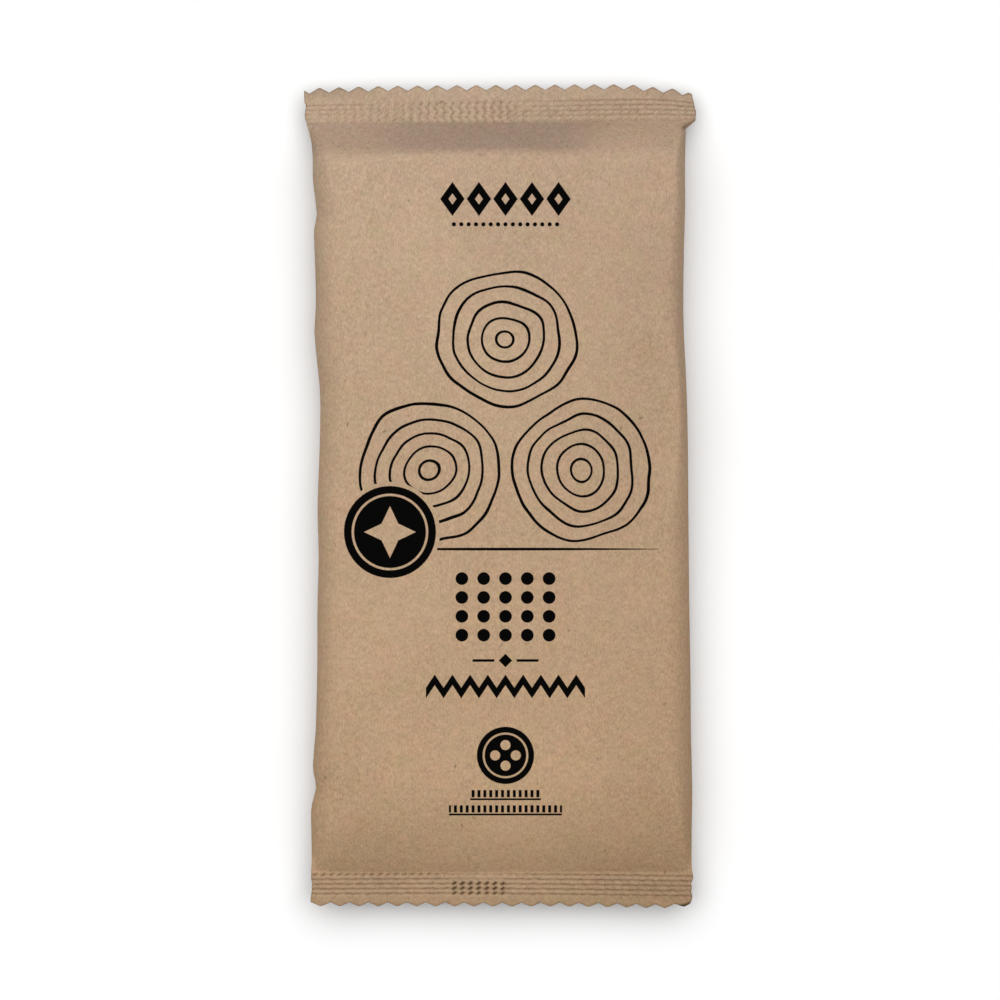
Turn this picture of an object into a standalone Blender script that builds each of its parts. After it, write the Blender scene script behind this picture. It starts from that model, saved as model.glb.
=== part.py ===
# A sealed flow-wrapped paper pack of small wooden teaspoons, lying on its back with the printed face up.
# +X runs across the pack, +Y along it towards the head seal, +Z up. The origin is under the middle of the pack.
# The wrapper is one tube of kraft paper: its edges are joined in a fin that lies flat along the back, and both
# ends are pressed flat, crimped and cut with a row of small teeth. The pack is modelled as one closed solid.
import math

import bmesh
import bpy

MM = 0.001

# Driving dimensions
LENGTH = 140.0 * MM             # tooth tip to tooth tip
HEAD_WIDTH = 66.8 * MM          # the tube pressed flat
SEAL_THICKNESS = 0.3 * MM       # two layers of paper, pressed together
SEAM_HEIGHT = 5.6 * MM          # middle of the end seals above the floor
FRONT_RISE = 6.0 * MM           # printed face above the seals
BACK_DROP = SEAM_HEIGHT - SEAL_THICKNESS / 2

# End seals
TEETH = 20
HEAD_TOOTH = 0.9 * MM
FOOT_TOOTH = 0.75 * MM
TOOTH_ROOT = 1.2                # the plain strip behind the teeth starts this many tooth depths in
HEAD_SEAL_INNER = 63.9 * MM     # where the head seal meets the slope
FOOT_SEAL_INNER = -64.4 * MM
HEAD_DROOP = 1.0 * MM           # how far the right end of the head seal hangs back
HEAD_DROOP_FROM = 23.0 * MM
CRIMPS = 5
CRIMP_PITCH = 0.8 * MM
CRIMP_DEPTH = 0.12 * MM

# Slopes from the seals to the flat faces
HEAD_SLOPE = 5.3 * MM
FOOT_SLOPE = 16.0 * MM
BACK_HEAD_SLOPE = 5.5 * MM
BACK_FOOT_SLOPE = 9.0 * MM
SIDE_ROUND = 4.2 * MM           # width of the rounded side, seen from above

# Fin of the lengthwise seal, folded flat on the back
FIN_FREE_EDGE = -8.5 * MM
FIN_FOLD = 2.3 * MM
FIN_THICKNESS = 0.3 * MM
FIN_EDGE_WIDTH = 0.2 * MM
FIN_RAMP = 2.5 * MM             # the back panel comes down to the floor over this width beside the fin

# Sides of the pack, as (y, x) in mm from the head to the foot
LEFT_SIDE = (
    (70.0, -33.2), (66.6, -33.4), (63.9, -33.1), (60.6, -32.2), (54.0, -31.7), (30.0, -31.3),
    (17.0, -30.6), (0.0, -30.9), (-32.0, -31.0), (-50.0, -31.4), (-53.0, -31.9), (-70.0, -32.2),
)
RIGHT_SIDE = (
    (70.0, 33.0), (65.5, 33.4), (63.9, 33.4), (62.6, 31.9), (60.0, 31.7), (25.0, 31.5),
    (3.0, 32.2), (-25.0, 32.5), (-50.0, 32.9), (-64.0, 32.7), (-70.0, 32.7),
)

# Mesh density
ROUND_STEPS = 6                 # columns over a rounded side, and rows over an end slope
BODY_ROWS = 12

SHARP_ANGLE = 25.0              # in degrees: the crimp ribs and cut edges stay crisp

KRAFT_COLOUR = (0.50, 0.35, 0.22, 1.0)
KRAFT_ROUGHNESS = 0.85


def clear_scene():
    for obj in list(bpy.data.objects):
        bpy.data.objects.remove(obj)


def side_at(points, y):
    """x of one side of the pack at y, on straight runs between the side's points."""
    y_mm = y / MM
    for (y_high, x_high), (y_low, x_low) in zip(points, points[1:]):
        if y_mm >= y_low:
            share = min(1.0, (y_mm - y_low) / (y_high - y_low))
            return (x_low + (x_high - x_low) * share) * MM
    return points[-1][1] * MM


def rounded_side(distance):
    """Share of the full height at a distance from the side of the pack: a quarter ellipse."""
    run = min(max(distance / SIDE_ROUND, 0.0), 1.0)
    return math.sqrt(1.0 - (1.0 - run) ** 2)


def straight_slope(distance, width):
    return min(max(distance / width, 0.0), 1.0)


def bowed_slope(distance, width):
    """A slope that leaves the seal steeply and levels out over width."""
    run = straight_slope(distance, width)
    return run * (2.0 - run)


def swell(x, y, rise, head_width, foot_width):
    """Distance of a face from the seals. It falls away over the sides and the end slopes, and in the
    corners, where both fall, they run into one soft fold."""
    side = rounded_side(min(x - side_at(LEFT_SIDE, y), side_at(RIGHT_SIDE, y) - x))
    head = straight_slope(HEAD_SEAL_INNER - y, head_width)
    foot = bowed_slope(y - FOOT_SEAL_INNER, foot_width)
    return rise * max(1.0 - math.hypot(1.0 - side, 1.0 - min(head, foot)), 0.0)


def crimp_at(y):
    """Height of the crimp ribs at y: a wave across each end seal, and nothing elsewhere."""
    for inner, outward in ((HEAD_SEAL_INNER, 1.0), (FOOT_SEAL_INNER, -1.0)):
        run = (y - inner) * outward / CRIMP_PITCH
        if 0.0 <= run <= CRIMPS:
            return -CRIMP_DEPTH * math.sin(math.pi * run) ** 2
    return 0.0


def fin_cover(x_middle):
    """1 on the fin, 0 off it, with a short step at its two edges. x_middle is a column's x at mid-length."""
    inside = min(x_middle - FIN_FREE_EDGE, FIN_FOLD - x_middle)
    return min(max(inside / FIN_EDGE_WIDTH, 0.0), 1.0)


def fin_lift(x_middle):
    """How far the back panel is held off the floor by the fin under it."""
    outside = max(FIN_FREE_EDGE - x_middle, x_middle - FIN_FOLD, 0.0)
    return FIN_THICKNESS * (1.0 - min(outside / FIN_RAMP, 1.0))


def x_at(share, y):
    left = side_at(LEFT_SIDE, y)
    return left + (side_at(RIGHT_SIDE, y) - left) * share


def column_shares():
    """Places of the mesh columns across the pack, from 0 at the left side to 1 at the right."""
    left = x_at(0.0, 0.0)
    width = x_at(1.0, 0.0) - left
    shares = {round(i / (2 * TEETH), 6) for i in range(2 * TEETH + 1)}
    for i in range(1, ROUND_STEPS + 1):
        share = SIDE_ROUND * (1.0 - math.cos(math.pi / 2 * i / ROUND_STEPS)) / width
        shares |= {round(share, 6), round(1.0 - share, 6)}
    fin_edges = (FIN_FREE_EDGE - FIN_RAMP, FIN_FREE_EDGE, FIN_FREE_EDGE + FIN_EDGE_WIDTH,
                 FIN_FOLD - FIN_EDGE_WIDTH, FIN_FOLD, FIN_FOLD + FIN_RAMP)
    shares |= {round((x - left) / width, 6) for x in fin_edges}
    return sorted(shares)


def run_between(start, end, steps):
    return [start + (end - start) * i / steps for i in range(steps)]


def row_places():
    """y of the mesh rows from the foot to the head, without the two rows of tooth tips."""
    crimped = CRIMPS * CRIMP_PITCH
    foot_flat = FOOT_SEAL_INNER + FOOT_SLOPE
    head_flat = HEAD_SEAL_INNER - HEAD_SLOPE
    turns = [math.pi / 2 * i / ROUND_STEPS for i in range(ROUND_STEPS)]
    rows = [-LENGTH / 2 + TOOTH_ROOT * FOOT_TOOTH]
    rows += run_between(FOOT_SEAL_INNER - crimped, FOOT_SEAL_INNER, 2 * CRIMPS)
    rows += [FOOT_SEAL_INNER + FOOT_SLOPE * (1.0 - math.cos(turn)) for turn in turns]
    rows += run_between(foot_flat, head_flat, BODY_ROWS)
    rows += [HEAD_SEAL_INNER - HEAD_SLOPE * math.cos(turn) for turn in turns]
    rows += run_between(HEAD_SEAL_INNER, HEAD_SEAL_INNER + crimped, 2 * CRIMPS)
    rows += [HEAD_SEAL_INNER + crimped, LENGTH / 2 - TOOTH_ROOT * HEAD_TOOTH]
    return rows


def tooth_at(share):
    """1 on a tooth's tip and 0 in the gap between two teeth."""
    return 1.0 - abs(2.0 * ((share * TEETH) % 1.0) - 1.0)


def droop_at(x, y):
    """The right end of the head seal hangs back a little."""
    bend = max(x - HEAD_DROOP_FROM, 0.0) / (HEAD_WIDTH / 2 - HEAD_DROOP_FROM)
    in_seal = min(max((y - HEAD_SEAL_INNER) / (LENGTH / 2 - HEAD_SEAL_INNER), 0.0), 1.0)
    return HEAD_DROOP * bend * in_seal


def grid_rows(shares):
    """y of every mesh point, row by row from the foot's tooth tips to the head's."""
    foot_cut = [-LENGTH / 2 + FOOT_TOOTH * (1.0 - tooth_at(share)) for share in shares]
    head_cut = [LENGTH / 2 - HEAD_TOOTH * (1.0 - tooth_at(share)) for share in shares]
    inner = [[y] * len(shares) for y in row_places()]
    return [foot_cut] + inner + [head_cut]


def front_height(x, y):
    return SEAM_HEIGHT + SEAL_THICKNESS / 2 + crimp_at(y) + swell(x, y, FRONT_RISE, HEAD_SLOPE, FOOT_SLOPE)


def back_height(x, x_middle, y):
    panel = BACK_DROP + crimp_at(y) - swell(x, y, BACK_DROP, BACK_HEAD_SLOPE, BACK_FOOT_SLOPE)
    panel = max(panel, fin_lift(x_middle))
    return max(panel - FIN_THICKNESS * fin_cover(x_middle), 0.0)


def build_pack():
    shares = column_shares()
    rows = grid_rows(shares)
    mesh = bmesh.new()
    front = []
    back = []
    for row in rows:
        front.append([])
        back.append([])
        for share, y in zip(shares, row):
            x = x_at(share, y)
            y_hung = y - droop_at(x, y)
            front[-1].append(mesh.verts.new((x, y_hung, front_height(x, y))))
            back[-1].append(mesh.verts.new((x, y_hung, back_height(x, x_at(share, 0.0), y))))
    last_row = len(rows) - 1
    last_column = len(shares) - 1
    for r in range(last_row):
        for c in range(last_column):
            mesh.faces.new((front[r][c], front[r][c + 1], front[r + 1][c + 1], front[r + 1][c]))
            mesh.faces.new((back[r][c], back[r + 1][c], back[r + 1][c + 1], back[r][c + 1]))
    for r in range(last_row):
        for c, step in ((0, 0), (last_column, 1)):
            wall = [back[r][c], back[r + 1][c], front[r + 1][c], front[r][c]]
            mesh.faces.new(wall if step else wall[::-1])
    for c in range(last_column):
        mesh.faces.new((back[0][c], back[0][c + 1], front[0][c + 1], front[0][c]))
        mesh.faces.new((front[last_row][c], front[last_row][c + 1],
                        back[last_row][c + 1], back[last_row][c]))
    bmesh.ops.triangulate(mesh, faces=mesh.faces[:])
    data = bpy.data.meshes.new("paper_pack")
    mesh.to_mesh(data)
    mesh.free()
    data.shade_smooth()
    data.set_sharp_from_angle(angle=math.radians(SHARP_ANGLE))
    return data


def kraft_paper():
    material = bpy.data.materials.new("kraft_paper")
    material.use_nodes = True
    shader = material.node_tree.nodes["Principled BSDF"]
    shader.inputs["Base Color"].default_value = KRAFT_COLOUR
    shader.inputs["Roughness"].default_value = KRAFT_ROUGHNESS
    shader.inputs["Metallic"].default_value = 0.0
    return material


def main():
    clear_scene()
    data = build_pack()
    data.materials.append(kraft_paper())
    pack = bpy.data.objects.new("paper_pack", data)
    bpy.context.scene.collection.objects.link(pack)


main()
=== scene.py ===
import math

import bpy
import numpy as np
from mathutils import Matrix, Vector


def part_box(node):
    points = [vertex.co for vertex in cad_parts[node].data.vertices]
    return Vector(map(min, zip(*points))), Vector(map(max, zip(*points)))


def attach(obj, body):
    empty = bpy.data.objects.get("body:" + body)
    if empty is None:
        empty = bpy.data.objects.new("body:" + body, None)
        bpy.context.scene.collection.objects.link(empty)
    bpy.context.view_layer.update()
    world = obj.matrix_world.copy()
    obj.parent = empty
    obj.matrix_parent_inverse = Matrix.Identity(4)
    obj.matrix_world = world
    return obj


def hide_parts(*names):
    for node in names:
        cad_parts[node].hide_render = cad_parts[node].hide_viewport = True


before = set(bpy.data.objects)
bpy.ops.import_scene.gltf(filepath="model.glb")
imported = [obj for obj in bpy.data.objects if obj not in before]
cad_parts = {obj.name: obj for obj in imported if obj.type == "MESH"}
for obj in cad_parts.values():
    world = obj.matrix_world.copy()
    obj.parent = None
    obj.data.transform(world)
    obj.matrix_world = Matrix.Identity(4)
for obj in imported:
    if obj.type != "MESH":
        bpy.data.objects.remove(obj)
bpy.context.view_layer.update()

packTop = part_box("paper_pack")[1]
mm = 0.001
halfWidth = packTop.x / mm
print("frame: the pack is %.1f x %.1f x %.1f mm" % (2 * halfWidth, 2 * packTop.y / mm, packTop.z / mm))


# The paper tube. Sizes in mm; +y runs to the head seal, +x to the right of the printed face.
paper = {
    "seamHeight": 5.6,       # middle of the end seals above the floor
    "ply": 0.26,             # two layers pressed together
    "frontRise": 6.0,
    "slack": 0.1,            # the face stays this much short of the full rise
    "slowWave": 0.10,        # unevenness over the goods
    "quickWave": 0.05,
}
teeth = {
    "head": {"first": -30.62, "pitch": 3.345, "depth": 1.0, "round": 0.10, "corner": 32.1},
    "foot": {"first": -30.35, "pitch": 3.257, "depth": 0.75, "round": 0.10, "corner": 32.3},
}

# The lengthwise fin seal, folded flat on the back; sizes across the pack
fin = {"free": -8.5, "fold": 2.3, "thick": 0.3, "step": 0.2, "spread": 2.6}

# The grid of points on each face
grid = {
    "columnStep": 0.24,
    "hem": (0.08, 0.16),     # extra columns close to the sides
    "straightFrom": -12.0,   # between these the columns run straight, along the fin
    "straightTo": 5.0,
    "cutStrip": 0.14,        # width of the crushed strip at the cut
    "underTeeth": 1.3,       # where the rows turn straight, in tooth depths from the tips
    "outerMargin": 0.25,     # the close rows go this far past the crimps
    "innerMargin": 0.35,
    "crimpRows": 38,
    "bodyRows": ((-63.7, 14), (-46.0, 28), (44.0, 9), (56.0, 15)),    # y, and steps to the next
}

# Sides as (y, x)
leftSide = (
    (-69.4, -32.1), (-68.4, -32.05), (-67.7, -31.95), (-67.1, -31.88), (-66.6, -31.92), (-66.1, -31.8),
    (-65.5, -31.95), (-64.4, -32.0), (-62.0, -31.9), (-57.0, -31.95), (-52.8, -31.9), (-50.4, -31.3),
    (-49.2, -31.1), (-48.2, -31.4), (-40.0, -31.2), (-30.0, -30.95), (-18.0, -30.9), (-11.0, -30.7),
    (-2.5, -30.9), (9.5, -30.5), (18.0, -30.5), (23.0, -31.0), (28.0, -31.45), (32.0, -31.2),
    (42.0, -31.4), (46.0, -31.4), (47.3, -31.05), (49.5, -31.2), (54.0, -31.7), (58.0, -31.75),
    (60.6, -32.05), (62.3, -32.5), (63.7, -32.9), (64.6, -33.1), (65.7, -33.0), (66.4, -32.9),
    (67.0, -33.15), (68.0, -33.2), (69.3, -33.25),
)
rightSide = (
    (-69.5, 32.6), (-68.8, 32.85), (-67.9, 32.88), (-67.3, 32.72), (-66.8, 32.85), (-66.1, 32.75),
    (-65.2, 33.05), (-63.6, 32.85), (-60.0, 32.8), (-50.0, 32.9), (-41.0, 32.7), (-30.0, 32.6),
    (-18.0, 32.4), (-2.5, 32.25), (9.5, 32.15), (14.6, 32.05), (21.4, 31.8), (27.0, 31.5),
    (42.0, 31.5), (49.0, 31.7), (57.5, 31.7), (61.5, 31.85), (62.6, 31.95), (63.1, 32.6),
    (63.8, 33.4), (64.5, 33.5), (65.2, 33.6), (66.1, 33.4), (66.9, 33.25), (68.0, 33.0),
    (68.7, 32.9),
)
# Width of the rounded side as (y, width)
leftRound = (
    (-64, 7.5), (-56, 7.0), (-48, 5.6), (-38, 4.8), (-20, 4.6), (-8, 4.2), (5, 4.8), (18, 5.8),
    (30, 5.4), (44, 5.2), (52, 4.2), (60, 4.0), (64, 4.5),
)
rightRound = (
    (-64, 5.0), (-56, 3.6), (-48, 3.8), (-30, 4.6), (-12, 4.3), (2, 3.0), (10, 1.9), (18, 1.8),
    (28, 3.0), (40, 3.0), (52, 2.0), (58, 2.2), (64, 3.0),
)

# Lines across the pack as (x, y)
headCrimpOuter = (
    (-33, 66.4), (-28, 66.5), (-8, 66.95), (9, 67.2), (21, 67.42), (27, 67.42), (30, 67.25), (33, 66.95),
)
headCrimpInner = ((-33, 63.3), (-28, 63.4), (-8, 63.75), (9, 63.9), (20, 64.08), (33, 64.15))
headTips = (
    (-33, 69.4), (-30.5, 69.5), (-20, 69.8), (-8, 69.95), (5, 70.0), (16, 70.1), (23, 70.0),
    (26.3, 69.65), (29.5, 69.4), (33, 68.95),
)
footCrimpInner = ((-33, -64.6), (0, -64.5), (17, -64.65), (33, -64.85))
footCrimpOuter = ((-33, -67.85), (0, -67.8), (17, -68.0), (33, -68.2))
footTips = ((-33, -69.95), (0, -70.0), (14, -70.05), (23, -70.2), (29, -70.25), (33, -69.95))

# Length of the slope behind the head seal as (x, length)
headRun = ((-33, 7.5), (-22, 6.6), (-14, 5.9), (10, 5.9), (17, 7.4), (26, 8.5), (33, 9.5))


def through(points, at):
    # a smooth curve through a few points
    xs, ys = np.array(points, float).T
    slope = np.gradient(ys, xs)
    k = np.clip(np.searchsorted(xs, at) - 1, 0, len(xs) - 2)
    step = xs[k + 1] - xs[k]
    t = np.clip((at - xs[k]) / step, 0, 1)
    start = (1 + 2 * t) * (1 - t) ** 2 * ys[k] + t * (1 - t) ** 2 * step * slope[k]
    return start + t * t * (3 - 2 * t) * ys[k + 1] + t * t * (t - 1) * step * slope[k + 1]


def ramp(start, end, at):
    t = np.clip((at - start) / (end - start), 0, 1)
    return t * t * (3 - 2 * t)


def window(at, rise, fall):
    # 1 between two ramps
    return ramp(*rise, at) * ramp(*fall, at)


def hump(distance, width):
    return np.exp(-(distance / width) ** 2)


def columnsAt(left, right):
    # x of each column; the outer ones follow the sides, the middle ones run straight
    steps = round(2 * halfWidth / grid["columnStep"])
    even = np.linspace(-halfWidth, halfWidth, steps + 1)
    hem = np.array(grid["hem"])
    finEdges = (fin["free"], fin["free"] + fin["step"], fin["fold"] - fin["step"], fin["fold"])
    base = np.unique(np.concatenate([even, -halfWidth + hem, halfWidth - hem, finEdges]))
    toLeft = np.clip((grid["straightFrom"] - base) / (grid["straightFrom"] + halfWidth), 0, 1)
    toRight = np.clip((base - grid["straightTo"]) / (halfWidth - grid["straightTo"]), 0, 1)
    return base + (left + halfWidth) * toLeft + (right - halfWidth) * toRight


def cutDepth(x, row):
    # how far the cut lies behind the tips
    tooth = (x - row["first"]) / row["pitch"]
    away = np.abs(tooth - np.round(tooth)) * 2
    corner = np.clip(x - row["corner"], 0, None) ** 2
    return row["depth"] * (np.sqrt(away ** 2 + row["round"] ** 2) - row["round"]) + corner


def gridPlaces():
    headX = columnsAt(leftSide[-1][1], rightSide[-1][1])
    footX = columnsAt(leftSide[0][1], rightSide[0][1])
    headTip, footTip = through(headTips, headX), through(footTips, footX)
    headCut = headTip - cutDepth(headX, teeth["head"])
    footCut = footTip + cutDepth(footX, teeth["foot"])
    # each guide is a line across the pack, with the number of steps to the next one
    guides = [
        (footCut, 1),
        (footCut + grid["cutStrip"], 3),
        (footTip + grid["underTeeth"] * teeth["foot"]["depth"], 4),
        (through(footCrimpOuter, footX) - grid["outerMargin"], grid["crimpRows"]),
        (through(footCrimpInner, footX) + grid["innerMargin"], 3),
        *((row * np.ones_like(headX), steps) for row, steps in grid["bodyRows"]),
        (through(headCrimpInner, headX) - grid["innerMargin"], grid["crimpRows"]),
        (through(headCrimpOuter, headX) + grid["outerMargin"], 4),
        (headTip - grid["underTeeth"] * teeth["head"]["depth"], 3),
        (headCut - grid["cutStrip"], 1),
        (headCut, 0),
    ]
    rows = []
    for (start, steps), (end, _) in zip(guides, guides[1:]):
        rows += [start + (end - start) * i / steps for i in range(steps)]
    rows.append(guides[-1][0])
    y = np.array(rows)
    ends = zip(through(leftSide, y[:, 0]), through(rightSide, y[:, -1]))
    x = np.array([columnsAt(left, right) for left, right in ends])
    return x, y, through(leftSide, y), through(rightSide, y)


def softTop(t, soft):
    # t up to 1, with the corner at 1 rounded off
    bent = 1 - (1 + soft - t) ** 2 / (4 * soft)
    return np.where(t < 1 - soft, np.maximum(t, 0), np.where(t > 1 + soft, 1, bent))


def sideShare(distance, width, sharp):
    u = np.clip(1 - distance / width, 0, 1)
    lens = 1 - u ** 2
    return sharp * lens + (1 - sharp) * np.sqrt(lens)


# How the tube swells from the flat seals to the full face
bulge = {
    "sharp": 0.15,           # 0 is a round side, 1 a bevel
    "cornerSharp": 0.55,     # more of it towards the seals
    "headCorner": (50, 63),
    "footCorner": (-46, -62),
    "blend": 3.5,            # how tightly a side and an end slope meet
    "headStart": 0.1,        # the slope starts this far behind the inner crimp
    "headSoft": 0.12,
    "bowedAt": (9, 17),      # to the right of here the head slope is bowed
    "frontFoot": (-64.1, 16.0),    # start and length of the slope
    "backHead": (63.3, 6.0),
    "backFoot": (-63.9, 10.0),
}


def swell(x, y, left, right, head, foot):
    # 0 on the seals and at the sides, 1 on the flat face; the corners run into soft folds
    corner = np.maximum(ramp(*bulge["headCorner"], y), ramp(*bulge["footCorner"], y))
    sharp = bulge["sharp"] + bulge["cornerSharp"] * corner
    side = np.minimum(
        sideShare(x - left, through(leftRound, y), sharp),
        sideShare(right - x, through(rightRound, y), sharp))
    end = np.minimum(head, foot)
    blend = bulge["blend"]
    return np.maximum(1 - ((1 - side) ** blend + (1 - end) ** blend) ** (1 / blend), 0)


def bowedSlope(t):
    return t * (2 - t)


def footSlope(y, start, length):
    return bowedSlope(np.clip((y - start) / length, 0, 1))


def frontEnds(x, y):
    # the slopes behind the seals: straight at the head's middle, bowed at its right and at the foot
    t = (through(headCrimpInner, x) - bulge["headStart"] - y) / through(headRun, x)
    bowed = ramp(*bulge["bowedAt"], x)
    head = (1 - bowed) * softTop(t, bulge["headSoft"]) + bowed * bowedSlope(np.clip(t, 0, 1))
    return head, footSlope(y, *bulge["frontFoot"])


def backEnds(y):
    start, length = bulge["backHead"]
    return np.clip((start - y) / length, 0, 1), footSlope(y, *bulge["backFoot"])


# Crimps: five pressed lines in each end seal, with the marks of the jaws' cross teeth
crimp = {
    "lines": 5,
    "lineWidth": 0.14,
    "force": 0.82,           # mean pressure, and how much it changes along a line
    "uneven": 0.18,
    "sway": ((0.035, 2.3, 1.9), (0.025, 5.1, 4.3)),    # height, rate, shift from line to line
    "headDepth": 0.16,
    "footDepth": 0.22,
    "markPitch": 1.38,
    "footFirst": 7,          # the foot's lines are numbered on from here, so they sway otherwise
}
# One cross mark of each kind; "up" is how far it lies above its row
marks = {
    "head": {"slant": 0.85, "start": 0.1, "width": 0.19, "high": 0.36, "up": 0},
    "footRoot": {"slant": 0.8, "start": 0.45, "width": 0.28, "high": 0.24, "up": 0},
    "footRight": {"slant": -0.9, "start": 0.2, "width": 0.18, "high": 0.4, "up": 0},
    "overFin": {"slant": 0.75, "start": -0.75, "width": 0.25, "high": 0.23, "up": 0.05},
    "finCross": {"slant": -1.2, "start": -0.7, "width": 0.14, "high": 0.24, "up": 0},
}
# How hard the head's jaws press: the lines, the slanted marks at both sides and the knurl between them
headJaw = {
    "upperLines": (
        (-33, 0.7), (-26, 0.55), (-22, 0.25), (-12, 0.1), (0, 0.25), (6, 0.45), (13, 0.7), (20, 0.85),
        (33, 0.95),
    ),
    "lowerLines": (
        (-33, 0.5), (-30, 0.3), (-22, 0.15), (-12, 0.1), (0, 0.25), (6, 0.45), (13, 0.7), (20, 0.8),
        (33, 0.85),
    ),
    "lineShare": (0.6, 1, 1, 1, 1),    # line by line, from the inner one
    "firstUpper": 3,
    "markShare": (0.9, 1.0, 0.8, 0.5, 0),
    "markForce": 0.8,
    "markUneven": 0.3,
    "leftMarks": 0.8,
    "leftFrom": (-31, -28),
    "leftTo": (-10, -18),
    "rightMarks": 0.7,
    "rightFrom": (-2, 2),
    "rightFade": 0.35,
    "rightFadeAt": (24, 31),
    "knurlFrom": ((0.35, (-26, -20)), (0.65, (-19, -10))),
    "knurlTo": (4.5, -0.5),
    "knurlStart": 0.3,
    "knurlWidth": 0.24,
    "knurlSway": 0.26,
    "knurlRows": ((-0.5, 0.1), (4.9, 4.1)),    # in line pitches from the inner line
    "knurlBeat": 0.25,
}
# And the foot's; the fin's extra layers lie under the middle of it
footJaw = {
    "finFrom": (-8.9, -8.2),
    "finTo": (1.3, 0.6),
    "rootLine": 0.45,
    "rootLineMore": (0.45, (0, 6)),
    "rootMarks": 0.25,
    "rootMarksMore": (0.75, (-8, -12)),
    "lines": 1.06,
    "finLess": 0.5,
    "rightMarks": (0.45, (13, 19)),
    "finMarks": (0, 0, 2.8, 2.8, 2.1),    # line by line, from the inner one
    "finCross": 0.9,
}


def dashes(x, width):
    # 1 on marks that repeat across the seal
    place = x / crimp["markPitch"]
    return hump((place - np.round(place)) * crimp["markPitch"], width)


def stamped(x, off, kind):
    # one row of slanted marks; off is the distance from the middle of the row
    mark = marks[kind]
    row = dashes(x - mark["slant"] * off - mark["start"], mark["width"])
    return row * hump(off - mark["up"], mark["high"])


def zigzag(t):
    # -1 to 1 and back each 2 of t
    return 2 * np.abs(np.mod(t, 2) - 1) - 1


def pressedLine(x, off, number):
    # one jaw line, pressed harder here and softer there
    sway = sum(height * np.sin(x * rate + shift * number) for height, rate, shift in crimp["sway"])
    change = np.sin(x * 0.9 + 2.6 * number) * np.sin(x * 2.7 + number)
    return (crimp["force"] + crimp["uneven"] * change) * hump(off + sway, crimp["lineWidth"])


def knurled(x, rise):
    # the close zigzag ridges, from the left of the head seal to its middle
    force = sum(share * ramp(*where, x) for share, where in headJaw["knurlFrom"])
    force *= ramp(*headJaw["knurlTo"], x)
    woven = dashes(x - headJaw["knurlSway"] * zigzag(rise) - headJaw["knurlStart"], headJaw["knurlWidth"])
    beat = 1 - headJaw["knurlBeat"] + headJaw["knurlBeat"] * zigzag(2 * rise + 0.5)
    return force * woven * window(rise, *headJaw["knurlRows"]) * beat


def headCrimps(x, y):
    outer, inner = through(headCrimpOuter, x), through(headCrimpInner, x)
    pitch = (outer - inner) / (crimp["lines"] - 1)
    upper, lower = through(headJaw["upperLines"], x), through(headJaw["lowerLines"], x)
    leftMarks = headJaw["leftMarks"] * window(x, headJaw["leftFrom"], headJaw["leftTo"])
    rightFade = 1 - headJaw["rightFade"] * ramp(*headJaw["rightFadeAt"], x)
    markForce = leftMarks + headJaw["rightMarks"] * ramp(*headJaw["rightFrom"], x) * rightFade
    depth = knurled(x, (y - inner) / pitch)
    for i in range(crimp["lines"]):
        off = y - (inner + pitch * i)
        force = upper if i >= headJaw["firstUpper"] else lower
        depth += pressedLine(x, off, i) * headJaw["lineShare"][i] * force
        change = np.sin(1.7 * x + 3.1 * i) * np.sin(0.61 * x + 1.3 * i)
        uneven = headJaw["markForce"] + headJaw["markUneven"] * change
        depth += stamped(x, off - pitch / 2, "head") * markForce * uneven * headJaw["markShare"][i]
    return depth


def footSealShade(x, y):
    outer, inner = through(footCrimpOuter, x), through(footCrimpInner, x)
    pitch = (inner - outer) / (crimp["lines"] - 1)
    overFin = window(x, footJaw["finFrom"], footJaw["finTo"])

    def growing(base, more):
        force, where = more
        return base + force * ramp(*where, x)

    depth = np.zeros_like(x)
    for i in range(crimp["lines"]):
        off = y - (inner - pitch * i)
        line = pressedLine(x, off, i + crimp["footFirst"])
        if i == 0:
            depth += line * growing(footJaw["rootLine"], footJaw["rootLineMore"])
            depth += stamped(x, off, "footRoot") * growing(footJaw["rootMarks"], footJaw["rootMarksMore"])
        else:
            depth += line * (footJaw["lines"] - footJaw["finLess"] * overFin)
            depth += growing(0, footJaw["rightMarks"]) * stamped(x, off + pitch / 2, "footRight")
        if footJaw["finMarks"][i]:
            depth += footJaw["finMarks"][i] * overFin * stamped(x, off, "overFin")
            depth += footJaw["finCross"] * overFin * stamped(x, off - pitch / 2, "finCross")
    return depth


# Soft folds and dents in the faces: from, to, width, height
folds = (
    ((30.0, 29.0), (31.2, 15.0), 0.8, 0.25),
    ((-31.5, -57.0), (-24.0, -49.0), 2.2, -0.35),
    ((-29.0, -63.5), (-21.0, -55.0), 2.6, 0.25),
    ((32.0, -62.0), (24.0, -52.0), 2.4, -0.3),
    ((33.0, 62.6), (26.5, 57.0), 1.2, 0.35),
    ((-33.0, 62.5), (-27.0, 57.5), 1.0, 0.3),
    ((-30.9, 61.2), (-30.3, 56.4), 0.5, -0.22),
    ((-31.0, 47.3), (-26.5, 45.5), 0.7, -0.25),
    ((32.6, -62.8), (29.0, -58.6), 0.5, 0.16),
    ((-31.6, -63.2), (-29.4, -58.0), 0.45, 0.14),
    ((-31.2, -49.3), (-26.0, -46.0), 0.8, -0.3),
)
foldEnds = ((-0.35, 0.15), (1.35, 0.7))    # where a fold rises and dies away, in its own lengths


def foldHeight(x, y):
    height = np.zeros_like(x)
    for (x0, y0), (x1, y1), width, rise in folds:
        length = math.hypot(x1 - x0, y1 - y0)
        ux, uy = (x1 - x0) / length, (y1 - y0) / length
        along = ((x - x0) * ux + (y - y0) * uy) / length
        across = (x - x0) * uy - (y - y0) * ux
        height += rise * hump(across, width) * window(along, *foldEnds)
    return height


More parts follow.
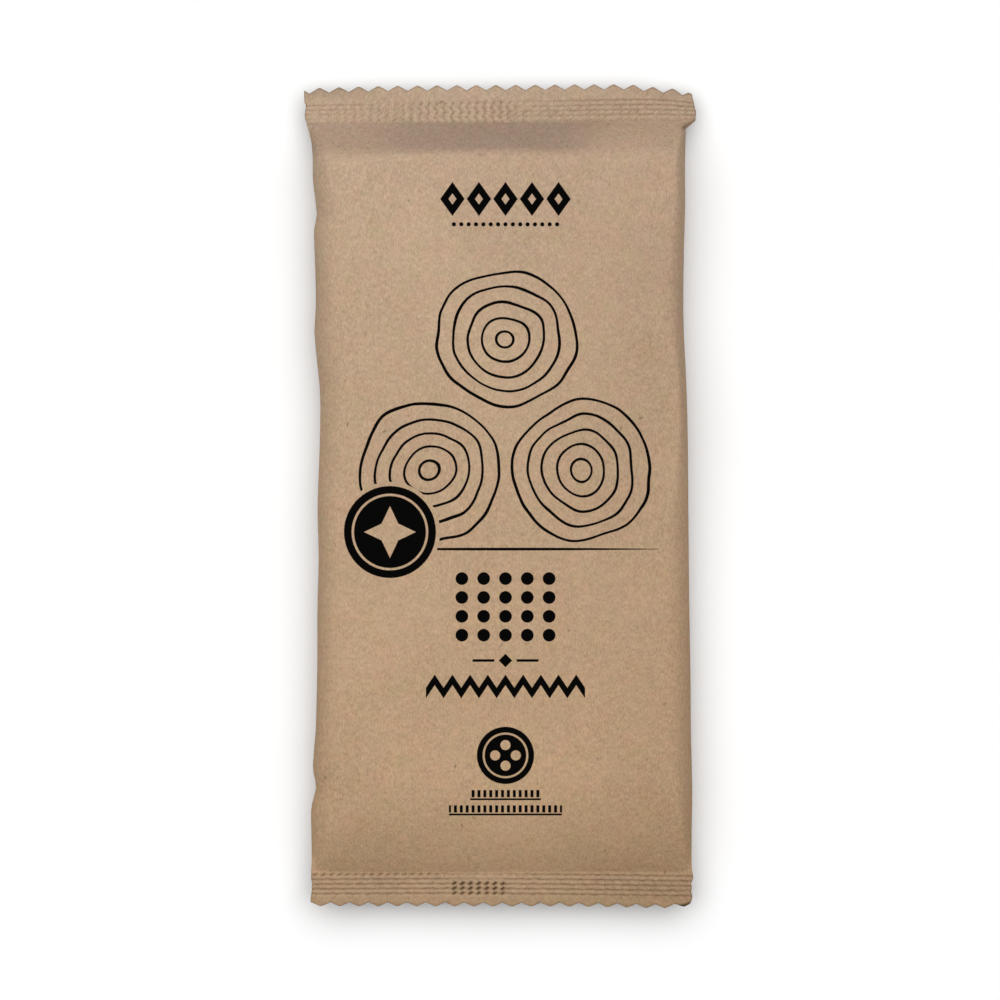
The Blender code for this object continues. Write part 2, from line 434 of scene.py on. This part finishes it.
def waves(x, y):
    # the goods underneath show as very slight unevenness
    slow = np.sin(x * 0.21 + 0.9 * np.sin(y * 0.07)) * np.cos(y * 0.06 + 0.4)
    quick = np.sin(x * 0.33 - y * 0.17 + 1.3) * np.sin(y * 0.23 + x * 0.08)
    return paper["slowWave"] * slow + paper["quickWave"] * quick


# How the end seals lie
seals = {
    "head": (63.8, 6.2),     # root and length
    "foot": (-64.0, 6.0),
    "past": 1.1,             # the sag goes on past the full length
    "headSag": (0.2, 1.4),   # how far each hangs below its root, and how bowed
    "footSag": (0.1, 1.1),
    "headDip": 1.5,          # the head seal's root lies lower than the middle
    "headDipAt": (56.5, 63.5),
    "rightCorner": (1.1, (24, 34)),
    "leftCorner": (0.35, (-27, -34)),
    "headRipple": (0.12, 0.28, 0.5),    # height, rate, shift
    "footRipple": (0.15, 0.22, 2.0),
    "edgeDrop": 0.16,        # the cut edge is crushed down by the knife
    "edgeWidth": 0.1,
    "edgeNext": 0.45,        # share of it in the next row
    "headSides": (63.5, 64.5),
    "footSides": (-64, -65),
}
# The last foot tooth at the right is bent down past a crease and painted darker there as shade
curled = {
    "crease": (30.6, -69.65),
    "away": (0.26, -0.96),   # square to the crease, towards the tip
    "reach": 0.7,
    "from": (30.2, 30.8),
    "drop": 1.8,             # per mm past the crease
    "tone": 4.0,             # and how much darker it is painted, as shade on the bent-down facet
}


def sealHeight(x, y):
    # both seals hang a little, and the head's corners more
    headRoot, headLength = seals["head"]
    footRoot, footLength = seals["foot"]
    head = np.clip((y - headRoot) / headLength, 0, seals["past"])
    foot = np.clip((footRoot - y) / footLength, 0, seals["past"])
    sag = seals["headDip"] * ramp(*seals["headDipAt"], y)
    for share, (depth, bow) in ((head, seals["headSag"]), (foot, seals["footSag"])):
        sag += depth * share ** bow
    for depth, where in (seals["rightCorner"], seals["leftCorner"]):
        sag += depth * head * ramp(*where, x)
    for share, (height, rate, shift) in ((head, seals["headRipple"]), (foot, seals["footRipple"])):
        sag -= height * share * np.sin(x * rate + shift)
    return paper["seamHeight"] - sag


def curledCorner(x, y):
    # how far each point lies past the crease
    (creaseX, creaseY), (awayX, awayY) = curled["crease"], curled["away"]
    beyond = (x - creaseX) * awayX + (y - creaseY) * awayY
    return np.clip(beyond, 0, curled["reach"]) * ramp(*curled["from"], x)


def cutEdge(x, y):
    # 1 along the cut, where the last bit of paper turns down
    rim = np.minimum(x - x[:, :1], x[:, -1:] - x)
    atSeals = np.maximum(ramp(*seals["headSides"], y), ramp(*seals["footSides"], y))
    sides = hump(rim, seals["edgeWidth"]) * atSeals
    ends = np.zeros_like(x)
    ends[0] = ends[-1] = 1
    ends[1] = ends[-2] = seals["edgeNext"]
    return np.maximum(sides, ends)


# Painted darkening on the seals: painted shade along the cut edge and in the fold facet under the head seal's
# right corner, and the ends of the head seal's teeth made darker
sealDarkening = {
    "edge": 0.6,
    "headEdge": 0.5,         # more of it at the head
    "tips": (66.9, 68.6),
    "leftTips": (0.42, (-17, -28)),
    "rightTips": (0.3, (20, 31)),
    "foldShade": (31.55, 62.95),
    "foldShadeForce": 1.1,
    "foldShadeSize": 0.55,
    "foldShadeFlat": 1.4,
    "crease": 0.9,
    "creaseWidth": 0.22,
    "creaseWay": (0.87, 0.5),
    "creaseEnds": ((-0.6, 0), (2.6, 2.0)),
    "most": 2.4,             # no place gets darker than this
}


def sealTone(x, y, edge):
    # painted shade along the cut edge and in the fold facet under the head seal's right corner; the head
    # seal's teeth darker towards its ends
    atEdge = (sealDarkening["edge"] + sealDarkening["headEdge"] * ramp(0, 1, y)) * edge
    tips = sum(share * ramp(*where, x) for share, where in (sealDarkening["leftTips"], sealDarkening["rightTips"]))
    foldX, foldY = x - sealDarkening["foldShade"][0], y - sealDarkening["foldShade"][1]
    foldShade = sealDarkening["foldShadeForce"] * hump(np.hypot(foldX, sealDarkening["foldShadeFlat"] * foldY), sealDarkening["foldShadeSize"])
    wayX, wayY = sealDarkening["creaseWay"]
    crease = hump(wayX * foldY - wayY * foldX, sealDarkening["creaseWidth"])
    crease *= window(wayX * foldX + wayY * foldY, *sealDarkening["creaseEnds"])
    return atEdge + ramp(*sealDarkening["tips"], y) * tips + foldShade + sealDarkening["crease"] * crease


def finCover(x):
    return window(x, (fin["free"], fin["free"] + fin["step"]), (fin["fold"], fin["fold"] - fin["step"]))


def finLift(x):
    outside = np.maximum(np.maximum(fin["free"] - x, x - fin["fold"]), 0)
    return fin["thick"] * (1 - ramp(0, fin["spread"], outside))


def buildPack():
    x, y, left, right = gridPlaces()
    edge, curl = cutEdge(x, y), curledCorner(x, y)
    seal = sealHeight(x, y) - seals["edgeDrop"] * edge - curled["drop"] * curl
    headPress, footPress = headCrimps(x, y), footSealShade(x, y)
    pressed = -crimp["headDepth"] * headPress - crimp["footDepth"] * footPress
    front = swell(x, y, left, right, *frontEnds(x, y))
    frontZ = seal + paper["ply"] / 2 + pressed + paper["frontRise"] * front
    frontZ += front * front * (waves(x, y) + foldHeight(x, y) - paper["slack"])
    drop = paper["seamHeight"] - paper["ply"] / 2
    back = swell(x, y, left, right, *backEnds(y))
    panel = np.maximum(seal - paper["ply"] / 2 + pressed - drop * back, finLift(x))
    backZ = np.maximum(panel - fin["thick"] * finCover(x), 0)
    # darkening per point: the crimp marks, partly pressed tone and partly painted shade in their grooves;
    # painted shade along the cut edge, in the fold facet and on the bent-down tooth; and the darker ends of
    # the head seal's teeth
    pressAndShade = headPress + footPress + sealTone(x, y, edge) + curled["tone"] * curl
    return x, y, frontZ, backZ, np.clip(pressAndShade, 0, sealDarkening["most"])


# The bake map holds both faces side by side
bakeMap = {"margin": 1.02, "apart": 0.25}


def paperFlat(x, y, z):
    # places on the unfolded sheet, for the bake map
    across = np.hypot(np.diff(x, axis=1), np.diff(z, axis=1))
    u = np.concatenate([np.zeros((len(x), 1)), np.cumsum(across, axis=1)], axis=1)
    u -= u[:, -1:] / 2
    middle = x.shape[1] // 2
    along = np.hypot(np.diff(y[:, middle]), np.diff(z[:, middle]))
    v = np.concatenate([[0], np.cumsum(along)])
    return u, (v - v[-1] / 2)[:, None] + (y - y[:, middle:middle + 1])


def packFaces(rows, columns):
    # quads of the front, the back and the wall between them, and the front's rim
    count = rows * columns
    spots = np.arange(count).reshape(rows, columns)
    a, b, c, d = spots[:-1, :-1], spots[:-1, 1:], spots[1:, 1:], spots[1:, :-1]
    top = np.stack([a, b, c, d], axis=-1).reshape(-1, 4)
    under = np.stack([a, d, c, b], axis=-1).reshape(-1, 4) + count
    rim = np.concatenate([spots[0, :], spots[1:, -1], spots[-1, -2::-1], spots[-2:0:-1, 0]])
    after = np.roll(rim, -1)
    wall = np.stack([rim + count, after + count, after, rim], axis=1)
    return np.concatenate([top, under, wall]), rim, after


def addBakeMap(mesh, x, y, frontZ, backZ, wallFaces):
    bake = mesh.uv_layers.new(name="OFBake")
    frontU, frontV = paperFlat(x, y, frontZ)
    backU, backV = paperFlat(x, y, backZ)
    span = max(frontV.max() - frontV.min(), backV.max() - backV.min()) * bakeMap["margin"]
    gap = bakeMap["apart"] * span
    uv = np.stack([
        0.5 + np.concatenate([(frontU - gap).ravel(), (backU + gap).ravel()]) / span,
        0.5 + np.concatenate([frontV.ravel(), backV.ravel()]) / span], axis=1)
    corners = np.zeros(len(mesh.loops), int)
    mesh.loops.foreach_get("vertex_index", corners)
    corners[-4 * wallFaces:] %= x.size          # the cut edge takes the front's colour
    bake.data.foreach_set("uv", uv[corners].astype(np.float32).ravel())


def meshPack():
    x, y, frontZ, backZ, pressAndShade = buildPack()
    points = np.stack([
        np.concatenate([x.ravel(), x.ravel()]),
        np.concatenate([y.ravel(), y.ravel()]),
        np.concatenate([frontZ.ravel(), backZ.ravel()])], axis=1) * mm
    faces, rim, after = packFaces(*x.shape)
    mesh = bpy.data.meshes.new("kraftPack")
    mesh.from_pydata(points.tolist(), [], faces.tolist())
    mesh.update()
    addBakeMap(mesh, x, y, frontZ, backZ, len(rim))

    # per-point darkening for the shader: pressed crimp tone and painted shade
    pressed = mesh.attributes.new("pressed", "FLOAT", "POINT")
    pressed.data.foreach_set("value", np.tile(pressAndShade.ravel(), 2).astype(np.float32))
    mesh.polygons.foreach_set("use_smooth", [True] * len(mesh.polygons))
    cutPairs = np.concatenate([np.stack([rim, after], axis=1), np.stack([rim, after], axis=1) + x.size])
    rimEdges = {frozenset(pair) for pair in cutPairs.tolist()}
    for edge in mesh.edges:
        edge.use_edge_sharp = frozenset(edge.vertices) in rimEdges
    print("pack: %d rows, %d columns, %d triangles" % (*x.shape, 2 * len(faces)))
    return mesh


class Shade:
    # a shader socket that works in Python expressions
    def __init__(self, tree, socket):
        self.tree = tree
        self.socket = socket

    def node(self, kind, settings=None, sockets=None, out=0):
        made = self.tree.nodes.new(kind)
        for name, value in (settings or {}).items():
            setattr(made, name, value)
        for name, value in (sockets or {}).items():
            if isinstance(value, Shade):
                self.tree.links.new(value.socket, made.inputs[name])
            else:
                made.inputs[name].default_value = value
        return Shade(self.tree, made.outputs[out])

    def math(self, operation, first, *others):
        return self.node("ShaderNodeMath", {"operation": operation}, dict(enumerate((first, *others))))

    def __add__(self, other):
        return self.math("ADD", self, other)

    def __radd__(self, other):
        return self.math("ADD", other, self)

    def __sub__(self, other):
        return self.math("SUBTRACT", self, other)

    def __rsub__(self, other):
        return self.math("SUBTRACT", other, self)

    def __mul__(self, other):
        return self.math("MULTIPLY", self, other)

    def __rmul__(self, other):
        return self.math("MULTIPLY", other, self)

    def __truediv__(self, other):
        return self.math("DIVIDE", self, other)

    def __abs__(self):
        return self.math("ABSOLUTE", self)

    def min(self, other):
        return self.math("MINIMUM", self, other)

    def max(self, other):
        return self.math("MAXIMUM", self, other)

    def without(self, other):
        # this shape with another cut out of it
        return self.max(0 - other)

    def fract(self):
        return self.math("FRACT", self)

    def length(self, other):
        return self.math("SQRT", self * self + other * other)

    def between(self, start, end):
        # 0 before the start, 1 past the end
        return self.node("ShaderNodeMapRange", {"interpolation_type": "SMOOTHSTEP"},
                         {"Value": self, "From Min": start, "From Max": end})

    def axis(self, name):
        return self.node("ShaderNodeSeparateXYZ", None, {"Vector": self}, name)

    def millimetres(self, name):
        return self.axis(name) * (1 / mm)

    def scaled(self, factors):
        return self.node("ShaderNodeVectorMath", {"operation": "MULTIPLY"}, {0: self, 1: factors})

    def noise(self, pattern):
        return self.node("ShaderNodeTexNoise", None, {
            "Vector": self,
            "Scale": pattern["scale"],
            "Detail": pattern.get("detail", 2.0),
            "Roughness": pattern["roughness"]})

    def mix(self, factor, a, b, blend="MIX"):
        # by number, since the node has sockets of the same names for other types
        return self.node("ShaderNodeMix", {"data_type": "RGBA", "blend_type": blend},
                         {0: factor, 6: a, 7: b}, 2)


# The print: plain shapes in black, sizes in mm from the middle of the pack
ink = {
    "middle": 1.1,
    "edge": 0.035,           # softness of the printed edge
    "fray": {"scale": 9000, "roughness": 0.6, "amount": 0.09},
    "front": (7.2, 7.8),     # only what lies this high is printed
    "lozenges": {"row": 50.3, "count": 5, "pitch": 4.5, "wide": 2.08, "high": 2.9, "slope": 1.7, "rim": 1.15},
    "smallDots": {"row": 46.0, "count": 15, "pitch": 1.25, "radius": 0.36},
    "logs": {"middles": ((-12.95, 4.2), (12.95, 4.2), (0, 26.5)), "radius": 12.7},
    "rings": {"pitch": 2.6, "line": 0.46},
    "wobble": {"scale": 95, "roughness": 0.45, "detail": 1.5, "amount": 3.4},
    "ground": {"row": -9.1, "half": 26, "thick": 0.24, "thinning": 0.2},
    "badge": {"middle": (-19.6, -6.2), "radius": 7.8, "ring": 6.3, "line": 0.2, "clear": 0.7},
    "star": {"waist": 2.1, "reach": 4.4},
    "tally": {"row": -18.9, "across": 5, "down": 4, "pitchX": 3.7, "pitchY": 3.2, "radius": 1.08},
    "rule": {"row": -28.0, "half": 5.6, "thick": 0.22, "gap": 1.9, "bead": 1.15},
    "zigzag": {"row": -32.4, "pitch": 3.0, "slope": 1.5, "thick": 0.5, "half": 13.5},
    "seal": {"row": -44.1, "radius": 4.85, "ring": 3.7, "line": 0.17, "dotOut": 1.75, "dot": 0.85},
    "tickRows": ((-50.6, 6.0), (-53.2, 9.6)),
    "ticks": {"pitch": 1.0, "thick": 0.26, "high": 0.62, "lineBelow": 0.95, "lineThick": 0.16},
}


# Each shape below is a signed distance in mm, below 0 inside the ink
def bar(x, y, halfX, halfY):
    return (abs(x) - halfX).max(abs(y) - halfY)


def repeated(value, pitch, count):
    # folds a row of count shapes onto one, centred on 0
    shift = 0.5 if count % 2 else 0.0
    return ((value / pitch + shift).fract() - 0.5) * pitch


def lozengeRow(x, y):
    size = ink["lozenges"]
    across = abs(repeated(x, size["pitch"], size["count"])) / size["wide"]
    lozenge = (across + abs(y - size["row"]) / size["high"] - 1) * size["slope"]
    return lozenge.max(abs(x) - size["pitch"] * size["count"] / 2).without(lozenge + size["rim"])


def dotRow(x, y):
    size = ink["smallDots"]
    dots = repeated(x, size["pitch"], size["count"]).length(y - size["row"]) - size["radius"]
    return dots.max(abs(x) - size["pitch"] * size["count"] / 2)


def logPile(x, y, place):
    # three log ends with uneven rings, over a line that thins out to its ends
    logs, rings, wobble, ground = ink["logs"], ink["rings"], ink["wobble"], ink["ground"]
    nearest = None
    for middleX, middleY in logs["middles"]:
        radius = (x - middleX).length(y - middleY)
        nearest = radius if nearest is None else nearest.min(radius)
    grown = nearest + (place.noise(wobble) - 0.5) * wobble["amount"]
    drawn = abs((grown / rings["pitch"]).fract() - 0.5) * rings["pitch"] - rings["line"] / 2
    out = abs(x) / ground["half"]
    line = abs(y - ground["row"]) - ground["thick"] + ground["thinning"] * out * out
    return drawn.max(grown - logs["radius"]).min(line.max(abs(x) - ground["half"]))


def starBadge(x, y):
    # the disc, and the clear ring round it
    size, star = ink["badge"], ink["star"]
    middleX, middleY = size["middle"]
    across, down = abs(x - middleX), abs(y - middleY)
    out = across.length(down)
    points = across.max(down) + star["waist"] * across.min(down) - star["reach"]
    disc = (out - size["radius"]).without(abs(out - size["ring"]) - size["line"]).without(points)
    return disc, size["radius"] + size["clear"] - out


def tallyDots(x, y):
    size = ink["tally"]
    down = y - size["row"]
    dots = repeated(x, size["pitchX"], size["across"]).length(repeated(down, size["pitchY"], size["down"]))
    block = bar(x, down, size["pitchX"] * size["across"] / 2, size["pitchY"] * size["down"] / 2)
    return (dots - size["radius"]).max(block)


def beadedRule(x, y):
    size = ink["rule"]
    down = y - size["row"]
    line = bar(x, down, size["half"], size["thick"]).max(size["gap"] - abs(x))
    return line.min(abs(x) + abs(down) - size["bead"])


def zigzagBand(x, y):
    size = ink["zigzag"]
    fold = abs((x / size["pitch"]).fract() - 0.5) * size["pitch"]
    offLine = abs(y - size["row"] - (fold - size["pitch"] / 4) * size["slope"])
    band = offLine * (1 / math.hypot(1, size["slope"])) - size["thick"]
    return band.max(abs(x) - size["half"])


def dottedSeal(x, y):
    size = ink["seal"]
    across, down = abs(x), abs(y - size["row"])
    out = across.length(down)
    dots = (across.max(down) - size["dotOut"]).length(across.min(down)) - size["dot"]
    return (out - size["radius"]).without(dots).without(abs(out - size["ring"]) - size["line"])


def tickRow(x, y, half):
    size = ink["ticks"]
    ticks = bar(repeated(x, size["pitch"], 2), y, size["thick"], size["high"]).max(abs(x) - half)
    return ticks.min(bar(x, y + size["lineBelow"], half, size["lineThick"]))


def printMask(place):
    x = place.millimetres("X") - ink["middle"]
    y = place.millimetres("Y")
    fray = (place.noise(ink["fray"]) - 0.5) * ink["fray"]["amount"]
    badge, around = starBadge(x, y)
    shapes = logPile(x, y, place).max(around).min(badge)
    for shape in (lozengeRow, dotRow, tallyDots, beadedRule, zigzagBand, dottedSeal):
        shapes = shapes.min(shape(x, y))
    for row, half in ink["tickRows"]:
        shapes = shapes.min(tickRow(x, y - row, half))
    covered = 1 - (shapes + fray).between(-ink["edge"], ink["edge"])
    return covered * place.millimetres("Z").between(*ink["front"])


# Brown kraft paper; most colours are factors on the base, several of them painted shade
kraft = {
    "base": (0.379, 0.2665, 0.1755, 1),
    "rosy": (1.025, 0.978, 0.985, 1),
    "olive": (0.978, 1.004, 0.955, 1),
    "head": (1.018, 1.055, 1.115, 1),   # painted light falloff: the face runs from this, lighter and cooler, at the head end
    "low": (0.94, 0.895, 0.80, 1),      # to this, darker and warmer as painted shade, at the foot end
    # painted shade, darker towards the right
    "right": (0.910, 0.900, 0.895, 1),
    "foot": (0.945, 0.94, 0.93, 1),     # painted shade, again over the last of the slope and the foot seal
    "slope": (0.71, 0.71, 0.76, 1),     # painted shade on the slope behind the head seal
    # painted shade, the head seal a little darker and cooler
    "seal": (0.945, 0.96, 0.975, 1),
    # painted shade on the foot seal: a little darker and bluer over the crimps, darker still on the hem
    "footSealShade": (0.95, 0.975, 1.035, 1),
    "footHemShade": (0.875, 0.895, 0.93, 1),
    # the crimps' pressed tone, also used for painted shade at the cut edge, the fold facet and the bent-down
    # tooth
    "pressed": (0.36, 0.32, 0.28, 1),
    "fleck": (0.13, 0.085, 0.050, 1),
    "ink": (0.0012, 0.0011, 0.0010, 1),
    "fleckShare": 0.62,
    "pressAndShadeShare": 0.6,
    "roughness": 0.86,
    "grainRoughness": 0.1,
    "inkRoughness": 0.66,
    "specular": 0.012,
    "bump": {"grain": 0.6, "pulp": 0.8, "ink": 0.25, "strength": 0.4, "distance": 0.07},    # mm
}
# The paper's unevenness: noise scale, its roughness, how much it shows
cloudy = {"scale": 60, "roughness": 0.5, "amount": 0.20}
pulpy = {"scale": 1150, "roughness": 0.6, "amount": 0.42}
grainy = {"scale": 4200, "roughness": 0.6, "amount": 0.80, "stretch": (1, 0.45, 1)}
rosyPatches = {"scale": 310, "roughness": 0.55, "from": (0.44, 0.62)}
olivePatches = {"scale": 260, "roughness": 0.55, "from": (0.46, 0.64)}
# Where each colour comes in: from and to in mm, along the pack or across it
zones = {
    "length": (-70, 70),
    "right": (-10, 34),
    "foot": (-66, -46),
    "slope": (56.8, 59.6),
    "headSeal": (63.2, 64.2),
    "rightOfSlope": (0.7, (10, 20)),    # how much weaker the slope's painted shade is at each side
    "leftOfSlope": (0.3, (-12, -24)),
    "footSeal": (-64.9, -64.1),
    "hem": (-68.6, -68.0),
}
fibres = {
    "layers": ((0.5, 0.0), (2.1, 3.7), (1.3, 8.1), (2.7, 5.3)),    # turn and shift
    "scale": 560.0,
    "longer": 2.2,
    "size": (0.05, 0.15),
    "rare": (0.970, 0.975),
}


def fibreMask(place):
    # short dark fibres, lying every way
    mask = 0
    for turn, shift in fibres["layers"]:
        turned = place.node("ShaderNodeMapping", {"vector_type": "TEXTURE"}, {
            "Vector": place,
            "Location": (shift, shift, 0),
            "Rotation": (0, 0, turn),
            "Scale": (fibres["longer"], 1, 1)})
        cell = {"Vector": turned, "Scale": fibres["scale"], "Randomness": 1.0}
        far = place.node("ShaderNodeTexVoronoi", None, cell, "Distance")
        rare = place.node("ShaderNodeTexVoronoi", None, cell, "Color").axis("X").between(*fibres["rare"])
        mask = (1 - far.between(*fibres["size"])) * rare + mask
    return mask.min(1)


def paperColour(place, tone):
    def times(a, b, share=1.0):
        return place.mix(share, a, b, "MULTIPLY")

    x, y = place.millimetres("X"), place.millimetres("Y")
    rosy = place.noise(rosyPatches)
    olive = place.scaled((1, 1, -1)).noise(olivePatches)
    colour = times(kraft["base"], tone)
    colour = times(colour, kraft["rosy"], rosy.between(*rosyPatches["from"]))
    colour = times(colour, kraft["olive"], olive.between(*olivePatches["from"]))
    # painted light falloff along the pack: lighter and cooler at the head, darker and warmer at the foot
    foot, head = zones["length"]
    colour = times(colour, place.mix((y - foot) / (head - foot), kraft["low"], kraft["head"]))
    # painted shade: the face darker towards the right
    colour = times(colour, kraft["right"], x.between(*zones["right"]))
    # painted shade over the last of the foot slope and the foot seal
    colour = times(colour, kraft["foot"], 1 - y.between(*zones["foot"]))
    # painted shade on the slope behind the head seal, weaker towards its sides
    weaker = 0
    for share, where in (zones["rightOfSlope"], zones["leftOfSlope"]):
        weaker = share * x.between(*where) + weaker
    onSlope = y.between(*zones["slope"]) * (1 - y.between(*zones["headSeal"]))
    colour = times(colour, kraft["slope"], onSlope * (1 - weaker))
    # painted shade on the head seal
    colour = times(colour, kraft["seal"], y.between(*zones["headSeal"]))
    # painted shade on the foot seal, darker on the hem past the crimps
    footSealShading = place.mix(y.between(*zones["hem"]), kraft["footHemShade"], kraft["footSealShade"])
    return times(colour, footSealShading, 1 - y.between(*zones["footSeal"]))


def kraftPaper():
    material = bpy.data.materials.new("kraftPaper")
    material.use_nodes = True
    tree = material.node_tree
    tree.nodes.clear()
    output = tree.nodes.new("ShaderNodeOutputMaterial")
    place = Shade(tree, None).node("ShaderNodeTexCoord", out="Object")

    clouds = place.noise(cloudy)
    pulp = place.noise(pulpy)
    grain = place.scaled(grainy["stretch"]).noise(grainy)
    tone = 1
    for pattern, size in ((clouds, cloudy), (pulp, pulpy), (grain, grainy)):
        tone = tone + size["amount"] * (pattern - 0.5)
    colour = paperColour(place, tone)
    colour = place.mix(fibreMask(place) * kraft["fleckShare"], colour, kraft["fleck"])
    # pressed crimp tone with painted shade in the grooves, at the cut edge, in the fold facet and on the
    # bent-down tooth
    pressAndShade = place.node("ShaderNodeAttribute", {"attribute_name": "pressed"}, None, "Fac")
    colour = place.mix((pressAndShade * kraft["pressAndShadeShare"]).min(1), colour, kraft["pressed"], "MULTIPLY")
    printed = printMask(place)
    colour = place.mix(printed, colour, kraft["ink"])

    smoother = kraft["roughness"] - kraft["inkRoughness"]
    roughness = kraft["roughness"] + kraft["grainRoughness"] * (grain - 0.5) - printed * smoother
    relief = kraft["bump"]
    height = grain * relief["grain"] + pulp * relief["pulp"] - printed * relief["ink"]
    bump = place.node("ShaderNodeBump", None, {
        "Strength": relief["strength"],
        "Distance": relief["distance"] * mm,
        "Height": height})
    shader = place.node("ShaderNodeBsdfPrincipled", None, {
        "Base Color": colour,
        "Roughness": roughness,
        "Normal": bump,
        "Specular IOR Level": kraft["specular"]})
    tree.links.new(shader.socket, output.inputs["Surface"])
    print("kraft paper: %d nodes" % len(tree.nodes))
    return material


def makePack():
    piece = bpy.data.objects.new("kraft_paper_pack", meshPack())
    bpy.context.scene.collection.objects.link(piece)
    piece.data.materials.append(kraftPaper())
    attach(piece, "root")
    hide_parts("paper_pack")


studio = {
    "floorSize": 60.0,
    "floorDrop": 0.00005,    # keeps the floor just under the pack
    "floorColour": (0.755, 0.755, 0.755, 1),
    "floorRoughness": 0.9,
    "floorSpecular": 0.1,
    "horizon": 1.05,
    "sky": 0.12,             # overhead; the horizon is white
    "skyFade": (0.03, 0.16),
    "softbox": {"from": (-0.02, 0.24, 1.0), "power": 3.91, "angle": 90},
    "sensor": 36,
    "clipStart": 0.01,
    "cameraHeight": 1.6,
    "viewWidth": 0.1703,     # what the view spans at the height of the seals
    "lookAt": (0.00017, -0.00077),
}


def makeFloor():
    bpy.ops.mesh.primitive_plane_add(size=studio["floorSize"], location=(0, 0, -studio["floorDrop"]))
    floor = bpy.context.object
    floor.name = "floor"
    cover = bpy.data.materials.new("paleFloor")
    cover.use_nodes = True
    shader = cover.node_tree.nodes["Principled BSDF"]
    shader.inputs["Base Color"].default_value = studio["floorColour"]
    shader.inputs["Roughness"].default_value = studio["floorRoughness"]
    shader.inputs["Specular IOR Level"].default_value = studio["floorSpecular"]
    floor.data.materials.append(cover)


def makeSky():
    world = bpy.data.worlds.new("studio")
    world.use_nodes = True
    bpy.context.scene.world = world
    tree = world.node_tree
    up = Shade(tree, None).node("ShaderNodeTexCoord", out="Generated").axis("Z")
    strength = studio["horizon"] - (studio["horizon"] - studio["sky"]) * up.between(*studio["skyFade"])
    tree.links.new(strength.socket, tree.nodes["Background"].inputs["Strength"])
    tree.nodes["Background"].inputs["Color"].default_value = (1, 1, 1, 1)


def makeSun(name):
    settings = studio[name]
    lamp = bpy.data.lights.new(name, "SUN")
    lamp.energy = settings["power"]
    lamp.angle = math.radians(settings["angle"])
    sun = bpy.data.objects.new(name, lamp)
    sun.rotation_euler = Vector(settings["from"]).to_track_quat("Z", "Y").to_euler()
    bpy.context.scene.collection.objects.link(sun)


def makeCamera():
    scene = bpy.context.scene
    lens = bpy.data.cameras.new("camera")
    lens.sensor_width = studio["sensor"]
    distance = studio["cameraHeight"] - paper["seamHeight"] * mm
    lens.lens = lens.sensor_width * distance / studio["viewWidth"]
    lens.clip_start = studio["clipStart"]
    camera = bpy.data.objects.new("camera", lens)
    camera.location = (*studio["lookAt"], studio["cameraHeight"])
    scene.collection.objects.link(camera)
    scene.camera = camera
    scene.view_settings.view_transform = "Standard"


makePack()
makeFloor()
makeSky()
makeSun("softbox")
makeCamera()
print("studio: floor, lights and camera are in place")
